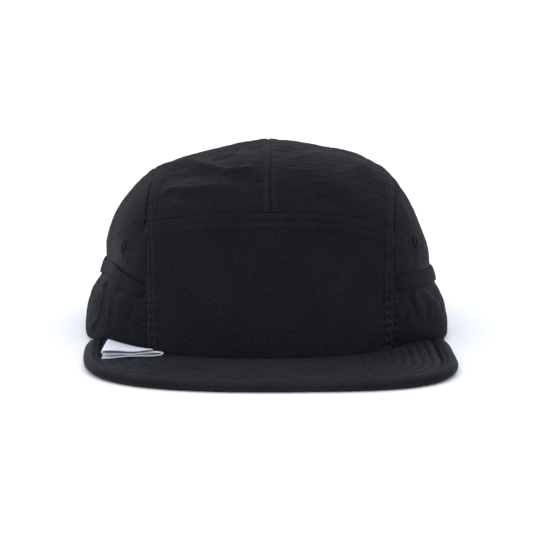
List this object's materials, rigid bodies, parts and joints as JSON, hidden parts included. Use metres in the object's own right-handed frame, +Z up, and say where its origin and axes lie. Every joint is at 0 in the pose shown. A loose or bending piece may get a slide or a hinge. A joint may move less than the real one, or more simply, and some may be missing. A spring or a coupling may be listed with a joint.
{
  "type": "five panel cap",
  "caption": "Soft five panel camp cap in black crinkled cloth with a short flat padded peak, a strap round the sides and back, vent eyelets and a folded label.",
  "frame": {"origin": "on the surface that the cap rests on, under the middle of the whole cap's box", "axes": "+Z up, -Y the way the peak points, +X the wearer's left"},
  "size_m": [0.182, 0.2544, 0.0938],
  "materials": {
    "crown_cloth": "crinkled thin nylon cloth, matt",
    "peak_cloth": "the same cloth over a stiff padded peak, matt",
    "webbing": "flat woven band, slight sheen",
    "slider_plastic": "moulded plastic, fine matt",
    "eyelet_thread": "embroidery thread",
    "label_ribbon": "white woven satin ribbon"
  },
  "bodies": {
    "root": {"front_panel": "crown_cloth", "top_panel_left": "crown_cloth", "top_panel_right": "crown_cloth", "side_panel_left": "crown_cloth", "side_panel_right": "crown_cloth", "brim": "peak_cloth", "strap": "webbing", "strap_slider": "slider_plastic", "eyelet_left": "eyelet_thread", "eyelet_right": "eyelet_thread", "brim_label": "label_ribbon"}
  },
  "joints": []
}
